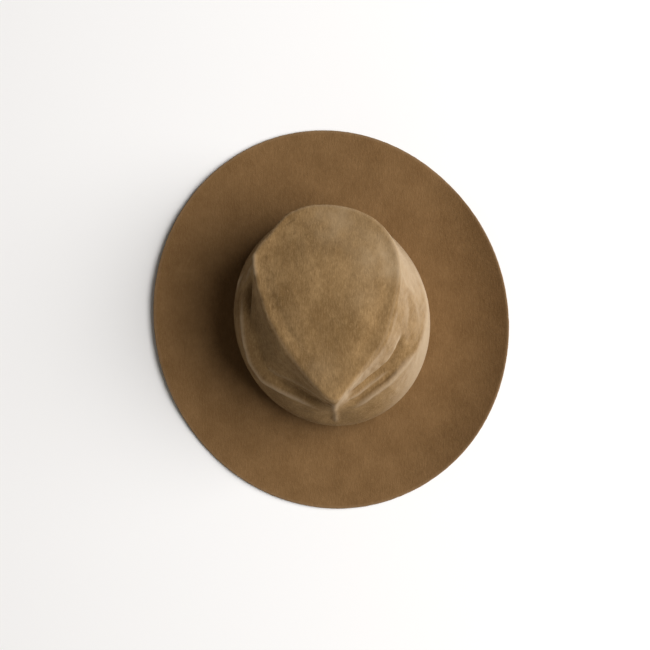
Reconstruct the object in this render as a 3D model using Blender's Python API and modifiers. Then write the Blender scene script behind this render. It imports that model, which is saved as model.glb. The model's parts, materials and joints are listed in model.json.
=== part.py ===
"""A soft felt fedora with a teardrop crown and a pinched front, resting on its brim.

The row frame is in metres. The origin is the middle of the brim's outline, on the surface the hat
rests on. +Z is up through the crown and -Y is the front of the hat, so +X is the wearer's left.
Angles run counter-clockwise seen from above, from +X: 90 degrees is the back of the hat.

The crown and the brim are two pieces of felt, sewn together round the head opening. Inside are a
leather sweatband with a plastic reed along its lower edge, and a satin lining.
"""

import math

import bpy
import numpy as np
from mathutils import Matrix

# ---------------------------------------------------------------- driving dimensions
HEAD_SIZE = 0.570  # round the inside of the sweatband
HEAD_ASPECT = 1.12  # length of the head opening over its width
SKEW = math.radians(16)  # the soft felt has relaxed into ovals turned this far
CROWN_X, CROWN_Y = 0.0012, 0.0009  # the crown's axis
BRIM_HALF_LONG, BRIM_HALF_SHORT = 0.1808, 0.1668
BRIM_SIDE_LIFT = 0.016  # how far the edge on the wearer's left curls up
BRIM_FLAT_ARC = math.radians(25)  # the brim lies flat this far each side of its front and back
BRIM_LIFT_TURN = math.radians(-8)  # where the curl of the left edge is highest
BRIM_LOW_SIDE = 0.38  # how far into its curl the right edge has come

CROWN_FELT = 0.0020
BRIM_FELT = 0.0020
COLLAR_FELT = 0.0015
LEATHER = 0.0010
SATIN = 0.0004
TAPE = 0.0004
THREAD = 0.0004
REED_DIAMETER = 0.0012
GAP = 0.0003  # between pieces that touch

# Depths below the crown's outer face, from the outside in, at the head opening.
COLLAR_OUTER = CROWN_FELT + GAP
COLLAR_INNER = COLLAR_OUTER + COLLAR_FELT
TAPE_OUTER = COLLAR_INNER + GAP
BAND_OUTER = TAPE_OUTER + TAPE + GAP
BAND_INNER = BAND_OUTER + LEATHER
STITCH_DEPTH = BAND_INNER + GAP + THREAD / 2
SEAM_DEPTH = (COLLAR_INNER + BAND_OUTER) / 2
REED_DEPTH = (BAND_OUTER + BAND_INNER) / 2 - 0.0001
LINING_OUTER = CROWN_FELT + 0.0004
SPLICE_OUTER = LINING_OUTER + SATIN + 0.0009
TAG_OUTER = LINING_OUTER + SATIN + 0.0008
BOW_DEPTH = BAND_INNER + GAP

# Heights.
CROWN_FOOT_Z = BRIM_FELT + GAP
BRIM_BEND_Z = 0.0032
COLLAR_TOP_Z = 0.0110
SEAM_Z = 0.0101
REED_Z = 0.0020
TAPE_TOP_Z = 0.0086
BAND_BOTTOM_Z, BAND_TOP_Z = 0.0037, 0.0330
STITCH_BOTTOM_Z, STITCH_TOP_Z = 0.0043, 0.0065
BOW_Z = 0.0112
SPLICE_BOTTOM_Z, SPLICE_TOP_Z = 0.0135, 0.0305
LINING_BOTTOM_Z = 0.0135
TAG_BOTTOM_Z, TAG_TOP_Z = 0.0230, 0.0410
LINING_TIP_Z = 0.0870
TOP_CENTRE_Z = 0.1145

BACK = math.pi / 2  # the sweatband's ends meet here
TAG_ANGLE = BACK + 0.42
SPLICE_HALF_WIDTH = 0.0070
TAG_HALF_WIDTH = 0.0060
BOW_REACH, BOW_HALF_HEIGHT, BOW_FULLNESS = 0.0100, 0.0032, 0.0024
KNOT_WIDTH, KNOT_DEPTH, KNOT_HEIGHT = 0.0036, 0.0026, 0.0050
TIP_HALF_WIDTH, TIP_HALF_LENGTH = 0.047, 0.058  # the oval top of the lining
PIPING_DIAMETER = 0.0018
STITCHES = 64

# The crown's shape. Each row is one station round it: its angle in degrees, then, in millimetres,
# the distance from the crown's axis and the height of its shoulder, of the hollow above that, and
# of its rim.
CROWN_STATIONS = (
    (-89, 86, 60, 79.5, 88, 75.5, 114.5),  # front ridge
    (-77, 84, 66, 72.5, 78, 65, 113),
    (-61, 78, 73, 67, 75, 55, 110.5),  # wearer's left pinch
    (-42, 79, 74, 67.5, 76, 50.5, 107.5),
    (-19, 84, 70, 70.5, 81, 51, 105.5),
    (5, 88.5, 65, 73.5, 84, 54.5, 104.5),  # wearer's left side
    (27, 89, 63, 78.5, 86, 66.5, 104.5),
    (47, 90.5, 62, 87.5, 84, 84.5, 103),
    (67, 96.5, 60, 97, 82, 97, 101),
    (89, 100.5, 58, 100.5, 80, 102, 100),  # back
    (111, 100.5, 58, 101, 80, 103, 101),
    (127, 97, 60, 95.5, 82, 94.5, 103),
    (141, 93, 62, 89.5, 84, 91, 105),  # squarer back corner
    (152, 88.5, 64, 80.5, 84, 79, 106.5),
    (168, 83, 70, 72, 83, 64.5, 107.5),  # wearer's right side
    (191, 81.5, 73, 68, 80, 54.5, 108.5),
    (214, 84.5, 71, 71.5, 77, 51, 109.5),
    (237, 82, 69, 69, 75, 54.5, 111),  # wearer's right pinch
    (256, 84.5, 64, 72.5, 78, 64, 113),
)
RIM_ROUNDING = 0.0125
TROUGH_Y, TROUGH_RADIUS, TROUGH_DEPTH = -0.020, 0.024, 0.0035  # dip in the front of the top

AROUND = 64  # columns round each felt piece
STEPS_PER_ARC = 2
BRIM_RINGS = 7

# ---------------------------------------------------------------- a clean scene
for old in list(bpy.data.objects):
    bpy.data.objects.remove(old)

HAT = bpy.data.collections.new("felt_fedora")
bpy.context.scene.collection.children.link(HAT)


# Colour and roughness of each kind of stuff. None of it is metal.
FELT = ((0.26, 0.16, 0.085), 0.95)
HIDE = ((0.16, 0.075, 0.035), 0.5)
LINING = ((0.30, 0.20, 0.11), 0.35)
RIBBON = ((0.10, 0.06, 0.035), 0.7)
COTTON = ((0.45, 0.32, 0.20), 0.8)
PLASTIC = ((0.80, 0.78, 0.72), 0.35)
LABEL = ((0.75, 0.70, 0.60), 0.8)


# ---------------------------------------------------------------- shapes
def oval_perimeter(a, b):
    """Ramanujan's approximation for an ellipse with semi-axes a and b."""
    return math.pi * (3 * (a + b) - math.sqrt((3 * a + b) * (a + 3 * b)))


HEAD_HALF_WIDTH = HEAD_SIZE / oval_perimeter(1, HEAD_ASPECT)
HEAD_HALF_LENGTH = HEAD_HALF_WIDTH * HEAD_ASPECT
FOOT_HALF_WIDTH = HEAD_HALF_WIDTH + BAND_INNER
FOOT_HALF_LENGTH = HEAD_HALF_LENGTH + BAND_INNER


def oval_radius(angle, half_width, half_length):
    """Distance from the centre of a skewed oval to its edge, at an angle."""
    turned = angle - SKEW
    return half_width * half_length / np.hypot(
        half_length * np.cos(turned), half_width * np.sin(turned)
    )


def foot_radius(angle):
    """Distance from the crown's axis to its outer face at the head opening."""
    return oval_radius(angle, FOOT_HALF_WIDTH, FOOT_HALF_LENGTH)


def around_crown(column, angle):
    """A smooth closed curve through one column of the stations, read at the given angles."""
    turn = 2 * math.pi
    knots = np.radians([row[0] for row in CROWN_STATIONS])
    values = np.array([row[column] / 1000 for row in CROWN_STATIONS])
    knots = np.concatenate([knots[-2:] - turn, knots, knots[:3] + turn])
    values = np.concatenate([values[-2:], values, values[:3]])
    slopes = (values[2:] - values[:-2]) / (knots[2:] - knots[:-2])
    angle = (angle - knots[2]) % turn + knots[2]
    i = np.clip(np.searchsorted(knots, angle, side="right") - 1, 1, len(knots) - 3)
    width = knots[i + 1] - knots[i]
    t = (angle - knots[i]) / width
    return (
        (2 * t**3 - 3 * t**2 + 1) * values[i]
        + (t**3 - 2 * t**2 + t) * width * slopes[i - 1]
        + (3 * t**2 - 2 * t**3) * values[i + 1]
        + (t**3 - t**2) * width * slopes[i]
    )


def rounded(controls, steps):
    """A quadratic B-spline through a control polygon of (radius, height) pairs over the angles."""
    points = [np.stack(pair) for pair in controls]
    found = [points[0]]
    start = points[0]
    for k in range(1, len(points) - 1):
        end = points[k + 1] if k == len(points) - 2 else (points[k] + points[k + 1]) / 2
        for t in np.linspace(0, 1, steps + 1)[1:]:
            found.append((1 - t) ** 2 * start + 2 * t * (1 - t) * points[k] + t**2 * end)
        start = end
    return found


def crown_profiles(angle, steps):
    """Rows of (radius, height) over the angles, from the crown's foot to the middle of its top."""
    foot = foot_radius(angle)
    shoulder, shoulder_z, hollow, hollow_z, rim, rim_z = (
        around_crown(column, angle) for column in range(1, 7)
    )
    level = np.ones_like(angle)
    controls = [
        (foot, CROWN_FOOT_Z * level),
        (foot, 0.018 * level),
        (foot, 0.034 * level),
        (0.4 * foot + 0.6 * shoulder, shoulder_z - 0.014),
        (shoulder, shoulder_z),
        ((shoulder + hollow) / 2, (shoulder_z + hollow_z) / 2),
        (hollow, hollow_z),
        (0.68 * rim + 0.32 * hollow, 0.68 * rim_z + 0.32 * hollow_z),
        (rim, rim_z),
        (rim - RIM_ROUNDING, rim_z + 0.001),
        (0.66 * rim, 0.45 * rim_z + 0.55 * TOP_CENTRE_Z),
        (0.36 * rim, TOP_CENTRE_Z * level),
        (0 * level, TOP_CENTRE_Z * level),
    ]
    return rounded(controls, steps)


def about_crown_axis(angle, radius, z):
    """Points at distances from the crown's axis."""
    angle, radius, z = np.broadcast_arrays(angle, radius, z)
    x = CROWN_X + radius * np.cos(angle)
    return np.stack([x, CROWN_Y + radius * np.sin(angle), z], axis=1)


def crown_points(angle, steps):
    """Rows of points on the crown's outer face, from its foot up."""
    rows = []
    for radius, z in crown_profiles(angle, steps):
        row = about_crown_axis(angle, radius, z)
        from_trough = np.hypot(row[:, 0], row[:, 1] - TROUGH_Y) / TROUGH_RADIUS
        on_top = np.clip((z - 0.090) / 0.012, 0, 1)
        row[:, 2] -= TROUGH_DEPTH * on_top * np.exp(-(from_trough**2) / 2)
        rows.append(row)
    return rows


def inside_wall(angle, z, depth):
    """Points a depth below the outer face of the crown's wall, at a height under its shoulder."""
    profiles = np.array(crown_profiles(angle, 10)[:60])
    z = np.broadcast_to(z, angle.shape)
    radius = [np.interp(h, profiles[:, 1, k], profiles[:, 0, k]) for k, h in enumerate(z)]
    return about_crown_axis(angle, np.array(radius) - depth, z)


def brim_row(angle, share, height):
    """Points a share of the way from the crown's foot to the brim's edge, over its underside."""
    inner = about_crown_axis(angle, foot_radius(angle), 0)
    edge = oval_radius(angle, BRIM_HALF_SHORT, BRIM_HALF_LONG)
    outer = np.stack([edge * np.cos(angle), edge * np.sin(angle), 0 * angle], axis=1)
    flat = math.sin(BRIM_FLAT_ARC)
    lean = np.cos(angle - BRIM_LIFT_TURN)
    side = np.clip((np.abs(lean) - flat) / (1 - flat), 0, 1) * np.where(lean > 0, 1, BRIM_LOW_SIDE)
    row = inner + share * (outer - inner)
    row[:, 2] = height + BRIM_SIDE_LIFT * side**2 * (3 - 2 * side) * share**2.8
    return row


def all_round():
    return BACK + np.arange(AROUND) * 2 * math.pi / AROUND


def seam_to_seam(count=AROUND + 1, clearance=0.0002):
    """Angles round the head opening from one side of the back seam to the other."""
    start = clearance / HEAD_HALF_LENGTH
    return BACK + np.linspace(start, 2 * math.pi - start, count)


# ---------------------------------------------------------------- making objects
def finish_with(obj, finish):
    """Puts a named object in the hat's collection, with a material of its own."""
    colour, roughness = finish
    made = bpy.data.materials.new(obj.name)
    made.use_nodes = True
    shader = made.node_tree.nodes["Principled BSDF"]
    shader.inputs["Base Color"].default_value = (*colour, 1)
    shader.inputs["Roughness"].default_value = roughness
    shader.inputs["Metallic"].default_value = 0
    obj.data.materials.append(made)
    HAT.objects.link(obj)
    return obj


def loft(name, rows, finish, ring=True, tube=False, apex=False):
    """A sheet through rows of points, whose outer side faces away from the middle as it climbs.

    ring joins the ends of each row, tube joins the last row to the first, and apex gathers
    everything after the last row into one point.
    """
    columns = len(rows[0])
    points = np.concatenate(rows).tolist()
    faces = []
    for i in range(len(rows) if tube else len(rows) - 1):
        low, high = i * columns, (i + 1) % len(rows) * columns
        for k in range(columns if ring else columns - 1):
            after = (k + 1) % columns
            faces.append((low + k, low + after, high + after, high + k))
    if apex:
        rim = (len(rows) - 1) * columns
        points.append(rows[-1].mean(axis=0).tolist())
        faces += [(rim + k, rim + (k + 1) % columns, len(points) - 1) for k in range(columns)]
    data = bpy.data.meshes.new(name)
    data.from_pydata(points, [], faces)
    data.shade_smooth()
    data.set_sharp_from_angle(angle=math.radians(40))
    return finish_with(bpy.data.objects.new(name, data), finish)


def thicken(obj, thickness):
    """Turns an open sheet into a shell by growing it inwards."""
    shell = obj.modifiers.new("thickness", "SOLIDIFY")
    shell.thickness = thickness
    shell.offset = -1
    return obj


def cord(name, points, diameter, finish, closed=False):
    """A round cord through points."""
    data = bpy.data.curves.new(name, "CURVE")
    data.dimensions = "3D"
    data.bevel_depth = diameter / 2
    data.bevel_resolution = 1
    data.use_fill_caps = True
    spline = data.splines.new("POLY")
    spline.points.add(len(points) - 1)
    for target, point in zip(spline.points, points):
        target.co = (*point, 1)
    spline.use_cyclic_u = closed
    return finish_with(bpy.data.objects.new(name, data), finish)


def zigzag(starts, ends):
    """The points of two rows, taken in turn."""
    return [point for pair in zip(starts, ends) for point in pair]


# ---------------------------------------------------------------- felt
def make_crown():
    rows = crown_points(all_round(), STEPS_PER_ARC)[:-1]
    thicken(loft("crown_felt", rows, FELT, apex=True), CROWN_FELT)


def make_brim():
    """The brim, with the collar that turns up inside the crown and is sewn to it."""
    angle = all_round()
    shares = np.linspace(0, 1, BRIM_RINGS + 1)
    rows = [brim_row(angle, share, BRIM_FELT) for share in shares[::-1]]
    rows += [
        inside_wall(angle, BRIM_FELT, COLLAR_OUTER),
        inside_wall(angle, COLLAR_TOP_Z, COLLAR_OUTER),
        inside_wall(angle, COLLAR_TOP_Z, COLLAR_INNER),
    ]
    for turn in np.radians([90, 60, 30, 0]):
        z = BRIM_BEND_Z * (1 - math.cos(turn))
        rows.append(inside_wall(angle, z, COLLAR_INNER * math.sin(turn)))
    rows += [brim_row(angle, share, 0) for share in shares[1:]]
    loft("brim_felt", rows, FELT, tube=True)


def make_seam_thread():
    """The thread that sews the crown to the brim's collar, lying on the collar's inner face."""
    points = inside_wall(seam_to_seam(clearance=0.001), SEAM_Z, SEAM_DEPTH)
    cord("crown_seam_thread", points, THREAD, COTTON)


# ---------------------------------------------------------------- sweatband
def make_sweatband():
    angle = seam_to_seam()
    heights = np.linspace(BAND_BOTTOM_Z, BAND_TOP_Z, 4)
    rows = [inside_wall(angle, z, BAND_OUTER) for z in heights]
    thicken(loft("sweatband", rows, HIDE, ring=False), LEATHER)


def make_reed():
    points = inside_wall(seam_to_seam(), REED_Z, REED_DEPTH)
    cord("sweatband_reed", points, REED_DIAMETER, PLASTIC)


def make_reed_tape():
    """The tape folded under the reed, with a leg standing up behind the sweatband."""
    angle = seam_to_seam()
    roll = REED_DIAMETER / 2 + GAP
    rows = [
        inside_wall(angle, TAPE_TOP_Z, TAPE_OUTER + TAPE),
        inside_wall(angle, REED_Z + 2 * roll, TAPE_OUTER + TAPE),
    ]
    for turn in np.radians([160, 200, 245, 295, 340, 380]):
        z = REED_Z + roll * math.sin(turn)
        rows.append(inside_wall(angle, z, REED_DEPTH + roll * math.cos(turn)))
    thicken(loft("reed_tape", rows, RIBBON, ring=False), TAPE)


def make_band_stitching():
    """The zigzag thread that joins the sweatband's lower edge to the reed tape."""
    low = seam_to_seam(STITCHES + 1, clearance=0.002)
    high = low + (low[1] - low[0]) / 2
    starts = inside_wall(low[:-1], STITCH_BOTTOM_Z, STITCH_DEPTH)
    ends = inside_wall(high[:-1], STITCH_TOP_Z, STITCH_DEPTH)
    cord("band_stitching", zigzag(starts, ends), THREAD, COTTON)


def make_patch(name, centre, half_width, heights, depths, thickness, finish):
    """A small piece that lies along the wall."""
    half_angle = half_width / HEAD_HALF_LENGTH
    angle = centre + np.linspace(-half_angle, half_angle, 5)
    rows = [inside_wall(angle, z, depth) for z, depth in zip(heights, depths)]
    thicken(loft(name, rows, finish, ring=False), thickness)


def make_splice():
    """The tape behind the back seam that holds the sweatband's two ends together."""
    heights = np.linspace(SPLICE_BOTTOM_Z, SPLICE_TOP_Z, 3)
    depths = [SPLICE_OUTER] * 3
    make_patch("sweatband_splice", BACK, SPLICE_HALF_WIDTH, heights, depths, TAPE, RIBBON)


def make_splice_thread():
    """The zigzag thread that closes the back seam."""
    heights = np.linspace(SPLICE_BOTTOM_Z + 0.0035, SPLICE_TOP_Z, 9)
    rise = (heights[1] - heights[0]) / 2
    reach = 0.0016 / HEAD_HALF_LENGTH
    level = np.ones_like(heights)
    starts = inside_wall((BACK - reach) * level, heights, STITCH_DEPTH)
    ends = inside_wall((BACK + reach) * level, heights + rise, STITCH_DEPTH)
    cord("splice_thread", zigzag(starts, ends), THREAD, COTTON)


def make_bow():
    """The flat ribbon bow over the foot of the back seam: two loops and a knot."""
    middle = BOW_DEPTH + KNOT_DEPTH / 2
    start = KNOT_WIDTH / 2 + GAP
    fold = BOW_FULLNESS / 2
    turn = np.radians([-90, -45, 0, 45, 90])
    far = BOW_REACH - fold * (1 - np.cos(turn))
    near = start + fold * (1 - np.cos(turn))
    out = np.concatenate([far, near])
    across = fold * np.concatenate([np.sin(turn), -np.sin(turn)])
    narrow = 0.5 + 0.5 * np.sin(np.pi / 2 * (out - start) / (BOW_REACH - start))
    for side, name in ((1, "bow_loop_left"), (-1, "bow_loop_right")):
        angle = BACK - side * out / HEAD_HALF_LENGTH
        heights = [BOW_Z + share * BOW_HALF_HEIGHT * narrow for share in (-1, 0, 1)]
        rows = [inside_wall(angle, z, middle - across)[::side] for z in heights]
        thicken(loft(name, rows, RIBBON), TAPE)
    centre = inside_wall(np.array([BACK]), BOW_Z, middle)[0]
    bpy.ops.mesh.primitive_cube_add(size=1, location=centre)
    knot = bpy.context.object
    knot.name = knot.data.name = "bow_knot"
    knot.data.transform(Matrix.Diagonal((KNOT_WIDTH, KNOT_DEPTH, KNOT_HEIGHT, 1)))
    along = np.diff(inside_wall(BACK + np.array([0.01, -0.01]), BOW_Z, middle), axis=0)[0]
    knot.data.transform(Matrix.Rotation(math.atan2(along[1], along[0]), 4, "Z"))
    for owner in list(knot.users_collection):
        owner.objects.unlink(knot)
    finish_with(knot, RIBBON)
    edge = knot.modifiers.new("edge", "BEVEL")
    edge.width = 0.0008
    edge.segments = 2


# ---------------------------------------------------------------- lining
def make_lining_side():
    """The satin wall of the lining: behind the sweatband at its foot, closing in to the tip."""
    angle = all_round()
    foot = foot_radius(angle)
    shoulder = around_crown(1, angle)
    tip = oval_radius(angle, TIP_HALF_WIDTH, TIP_HALF_LENGTH)
    level = np.ones_like(angle)
    controls = [
        (foot - LINING_OUTER, LINING_BOTTOM_Z * level),
        (foot - LINING_OUTER, 0.036 * level),
        (0.4 * foot + 0.6 * shoulder - 0.007, 0.050 * level),
        (0.35 * shoulder + 0.65 * tip, 0.073 * level),
        (tip, (LINING_TIP_Z - PIPING_DIAMETER / 2 - GAP) * level),
    ]
    rows = [about_crown_axis(angle, radius, z) for radius, z in rounded(controls, 2)]
    thicken(loft("lining_side", rows, LINING), SATIN)


def make_lining_tip():
    """The flat oval top of the lining."""
    angle = all_round()
    edge = PIPING_DIAMETER / 2 + GAP
    tip = oval_radius(angle, TIP_HALF_WIDTH - edge, TIP_HALF_LENGTH - edge)
    z = LINING_TIP_Z + SATIN / 2
    rows = [about_crown_axis(angle, tip * share, z) for share in (1, 0.5)]
    thicken(loft("lining_tip", rows, LINING, apex=True), SATIN)


def make_lining_piping():
    """The cord sewn into the seam between the lining's wall and its tip."""
    angle = all_round()
    tip = oval_radius(angle, TIP_HALF_WIDTH, TIP_HALF_LENGTH)
    points = about_crown_axis(angle, tip, LINING_TIP_Z)
    cord("lining_piping", points, PIPING_DIAMETER, RIBBON, closed=True)


def make_size_tag():
    """The blank label tucked behind the top of the sweatband."""
    heights = np.linspace(TAG_BOTTOM_Z, TAG_TOP_Z, 4)
    depths = TAG_OUTER + 0.0016 * np.linspace(0, 1, 4) ** 2
    make_patch("size_tag", TAG_ANGLE, TAG_HALF_WIDTH, heights, depths, TAPE, LABEL)


make_crown()
make_brim()
make_seam_thread()
make_sweatband()
make_reed()
make_reed_tape()
make_band_stitching()
make_splice()
make_splice_thread()
make_bow()
make_lining_side()
make_lining_tip()
make_lining_piping()
make_size_tag()
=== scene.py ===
"""The looks of a soft felt fedora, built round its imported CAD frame.

Metres, +Z up, the front of the hat at -Y, the origin under the middle of the brim. Angles run
counter-clockwise seen from above, from +X, so 90 degrees is the back of the hat.
"""
import json
import math

import bmesh
import bpy
import numpy as np
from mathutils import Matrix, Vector, noise

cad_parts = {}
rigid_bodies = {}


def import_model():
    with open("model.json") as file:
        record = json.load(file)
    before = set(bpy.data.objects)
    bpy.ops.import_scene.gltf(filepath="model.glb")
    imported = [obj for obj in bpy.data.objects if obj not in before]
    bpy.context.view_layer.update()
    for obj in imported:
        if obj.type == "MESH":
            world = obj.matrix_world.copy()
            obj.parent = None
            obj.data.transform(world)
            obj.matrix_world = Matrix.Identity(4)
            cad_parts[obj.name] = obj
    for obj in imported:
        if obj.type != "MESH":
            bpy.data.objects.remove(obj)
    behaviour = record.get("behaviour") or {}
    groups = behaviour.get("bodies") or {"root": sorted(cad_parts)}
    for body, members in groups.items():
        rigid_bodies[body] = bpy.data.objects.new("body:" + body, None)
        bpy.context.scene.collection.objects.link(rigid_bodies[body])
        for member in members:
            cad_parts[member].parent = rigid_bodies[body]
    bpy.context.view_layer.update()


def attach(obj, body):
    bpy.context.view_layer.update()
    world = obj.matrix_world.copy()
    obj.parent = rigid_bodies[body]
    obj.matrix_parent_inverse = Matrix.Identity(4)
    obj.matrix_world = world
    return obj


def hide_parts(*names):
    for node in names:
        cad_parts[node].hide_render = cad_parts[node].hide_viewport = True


for old in list(bpy.data.objects):
    bpy.data.objects.remove(old)
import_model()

# ---------------------------------------------------------------- dimensions, as in the CAD model
HEAD_SIZE = 0.570
HEAD_ASPECT = 1.12
SKEW = math.radians(16)
CROWN_X, CROWN_Y = 0.0012, 0.0009
BRIM_HALF_LONG, BRIM_HALF_SHORT = 0.1808, 0.1668
BRIM_SIDE_LIFT = 0.016
BRIM_FLAT_ARC = math.radians(25)
BRIM_LIFT_TURN = math.radians(-8)
BRIM_LOW_SIDE = 0.38
BRIM_CURL = 2.8
CROWN_FELT = 0.0020
BRIM_FELT = 0.0020
COLLAR_OUTER, COLLAR_INNER = 0.0023, 0.0038
TAPE = 0.0004
TAPE_OUTER = 0.0041
THIN_TAPE = 0.8 * TAPE
BAND_OUTER, BAND_INNER = 0.0048, 0.0058
LINING_OUTER = 0.0024
SATIN = 0.0004
SEAM_DEPTH = 0.0043
REED_DEPTH = 0.0052
REED_DIAMETER = 0.0012
THREAD_DIAMETER = 0.0004
CROWN_FOOT_Z = 0.0023
BRIM_BEND_Z = 0.0032
COLLAR_TOP_Z = 0.0110
SEAM_Z = 0.0101
REED_Z = 0.0020
TAPE_TOP_Z = 0.0086
BAND_BOTTOM_Z, BAND_TOP_Z = 0.0037, 0.0330
BAND_STITCH_LOW_Z, BAND_STITCH_HIGH_Z = 0.0043, 0.0066
BOW_Z = 0.0112
BOW_REACH, BOW_HALF_HEIGHT, BOW_FULLNESS = 0.0100, 0.0032, 0.0024
KNOT_WIDTH, KNOT_DEPTH, KNOT_HEIGHT = 0.0036, 0.0026, 0.0050
BOW_MIDDLE = BAND_INNER + 0.0003 + KNOT_DEPTH / 2
SPLICE_BOTTOM_Z, SPLICE_TOP_Z = 0.0135, 0.0305
SPLICE_DEPTH, SPLICE_HALF_WIDTH = 0.0037, 0.0070
LINING_BOTTOM_Z = 0.0135
LINING_TIP_Z = 0.0870
TOP_CENTRE_Z = 0.1145
BACK = math.pi / 2
TAG_ANGLE = BACK + 0.42
TAG_BOTTOM_Z, TAG_TOP_Z, TAG_HALF_WIDTH = 0.0230, 0.0410, 0.0060
TAG_BORDER_INSET, TAG_BORDER_SOFTNESS = 0.0012, 0.00035
TIP_HALF_WIDTH, TIP_HALF_LENGTH = 0.047, 0.058
PIPING_DIAMETER = 0.0018
PIPING_GAP = PIPING_DIAMETER / 2 + 0.0003
RIM_ROUNDING = 0.0125
TROUGH_Y, TROUGH_RADIUS, TROUGH_DEPTH = -0.020, 0.024, 0.0035
TROUGH_LOW_Z, TROUGH_FADE_IN = 0.090, 0.012

# The control polygon of the crown's profile, between the columns of the stations below.
WALL_LOW_Z, WALL_TOP_Z = 0.018, 0.034
WALL_TO_SHOULDER, UNDER_SHOULDER = 0.6, 0.014
HOLLOW_TO_RIM = 0.68
RIM_DOME = 0.001
TOP_OUTER, TOP_OUTER_RISE, TOP_INNER = 0.66, 0.55, 0.36

# One station a row: degrees, then the distance from the crown's axis and the height (mm) of its
# shoulder, of the hollow above that, and of its rim.
CROWN_STATIONS = (
    (-89, 86, 60, 79.5, 88, 75.5, 114.5),
    (-77, 84, 66, 72.5, 78, 65, 113),
    (-61, 78, 73, 67, 75, 55, 110.5),
    (-42, 79, 74, 67.5, 76, 50.5, 107.5),
    (-19, 84, 70, 70.5, 81, 51, 105.5),
    (5, 88.5, 65, 73.5, 84, 54.5, 104.5),
    (27, 89, 63, 78.5, 86, 66.5, 104.5),
    (47, 90.5, 62, 87.5, 84, 84.5, 103),
    (67, 96.5, 60, 97, 82, 97, 101),
    (89, 100.5, 58, 100.5, 80, 102, 100),
    (111, 100.5, 58, 101, 80, 103, 101),
    (127, 97, 60, 95.5, 82, 94.5, 103),
    (141, 93, 62, 89.5, 84, 91, 105),
    (152, 88.5, 64, 80.5, 84, 79, 106.5),
    (168, 83, 70, 72, 83, 64.5, 107.5),
    (191, 81.5, 73, 68, 80, 54.5, 108.5),
    (214, 84.5, 71, 71.5, 77, 51, 109.5),
    (237, 82, 69, 69, 75, 54.5, 111),
    (256, 84.5, 64, 72.5, 78, 64, 113),
)

# Creases pressed in the crown's felt: where each runs (mm), its half-width and its depth (mm), and
# the share of its length over which each end fades out. A negative depth is a ridge. Heights only
# say which layer of a fold is meant.
CREASES = {
    "front_ridge": (
        ((3, -74, 114), (4, -82, 88), (5, -91, 50), (6, -99, 8)),
        2.6, -1.7, 0.12,
    ),
    "front_pit": (
        ((-7, -73, 100), (-1, -77, 92)),
        2.8, 3.0, 0.22,
    ),
    "right_low_groove": (
        ((-52, -52, 78), (-42, -60, 78), (-30, -66, 80), (-17, -72, 83), (-4, -77, 88)),
        3.6, 1.7, 0.22,
    ),
    "right_ridge": (
        ((-61, -40, 80), (-46, -52, 83), (-30, -59, 87), (-14, -67, 93), (-3, -73, 102)),
        3.4, -0.8, 0.22,
    ),
    "right_high_groove": (
        ((-59, -23, 88), (-50, -37, 90), (-37, -48, 93), (-21, -59, 97), (-7, -69, 102)),
        4.5, 0.7, 0.3,
    ),
    "right_shoulder": (
        ((-80, 24, 72), (-80, 2, 73), (-79, -19, 73), (-74, -39, 72), (-63, -55, 71),
         (-46, -65, 69), (-28, -73, 67), (-8, -82, 64)),
        2.6, -2.5, 0.22,
    ),
    "right_slit": (
        ((-73, 42, 88), (-75, 30, 86), (-76, 14, 84), (-74, -6, 84)),
        3.2, 4.4, 0.5,
    ),
    "right_outer_slit": (
        ((-84, 30, 60), (-86, 14, 58), (-84, -8, 58)),
        2.6, 3.4, 0.5,
    ),
    "right_bump": (
        ((-86, 37, 48), (-85, 33, 60)),
        8.0, -1.9, 0.22,
    ),
    "left_groove": (
        ((64, -12, 86), (62, -26, 84), (54, -40, 82), (40, -51, 82), (26, -61, 84), (13, -72, 92)),
        3.4, 4.4, 0.22,
    ),
    "left_ridge": (
        ((56, -44, 78), (40, -56, 78), (24, -68, 79), (9, -79, 84)),
        2.3, -1.9, 0.35,
    ),
    "left_low_groove": (
        ((62, -43, 76), (49, -55, 75), (33, -67, 75), (17, -78, 76)),
        2.4, 0.9, 0.35,
    ),
    "left_shoulder": (
        ((77, -28, 72), (64, -45, 74), (52, -58, 73), (36, -70, 71), (19, -82, 66)),
        3.0, -2.2, 0.22,
    ),
    "left_rim_crease": (
        ((50, 76, 106), (58, 64, 108), (61, 48, 109), (61, 30, 109)),
        2.6, -0.9, 0.4,
    ),
    "left_valley": (
        ((69, 24, 95), (72, 8, 92), (70, -8, 90)),
        4.0, 0.6, 0.22,
    ),
    "left_diagonal": (
        ((61, 46, 109), (67, 31, 100), (78, 19, 80)),
        3.6, -0.7, 0.4,
    ),
    "corner": (
        ((-70, 61, 109), (-69, 53, 110), (-67, 37, 111)),
        2.6, -1.2, 0.22,
    ),
    "corner_wall": (
        ((-71, 57, 100), (-76, 45, 80), (-80, 31, 68)),
        3.0, -1.4, 0.35,
    ),
    "back_notch": (
        ((-40, 90, 104), (-36, 86, 106)),
        4.5, 0.8, 0.22,
    ),
}
RIM_HIGHLIGHT = 0.30  # strength of the painted highlight along the rim and the brim's raw edge; 1 is as pale as a sharp ridge
RIM_HIGHLIGHT_ROWS = 3
FULL_FOLD_DEPTH = 2.2  # mm: a crease this deep or deeper gets the full painted shade, a ridge this high the full painted highlight

# Patches on the top of the crown, a painted highlight in the first table and painted shade in the
# second: x, y, radius (mm), strength.
HIGHLIGHT_PATCHES = (
    (42, 60, 22, 0.75), (62, 45, 12, 0.6), (6, 100, 20, 0.6), (0, 82, 20, 0.35),
    (-8, -44, 14, 0.25), (30, 20, 16, 0.25),
)
SHADE_PATCHES = (
    (-4, -2, 17, 0.40), (-34, 8, 15, 0.25), (-38, 48, 18, 0.30), (14, 66, 13, 0.22),
    (6, -30, 20, 0.34),
)

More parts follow.
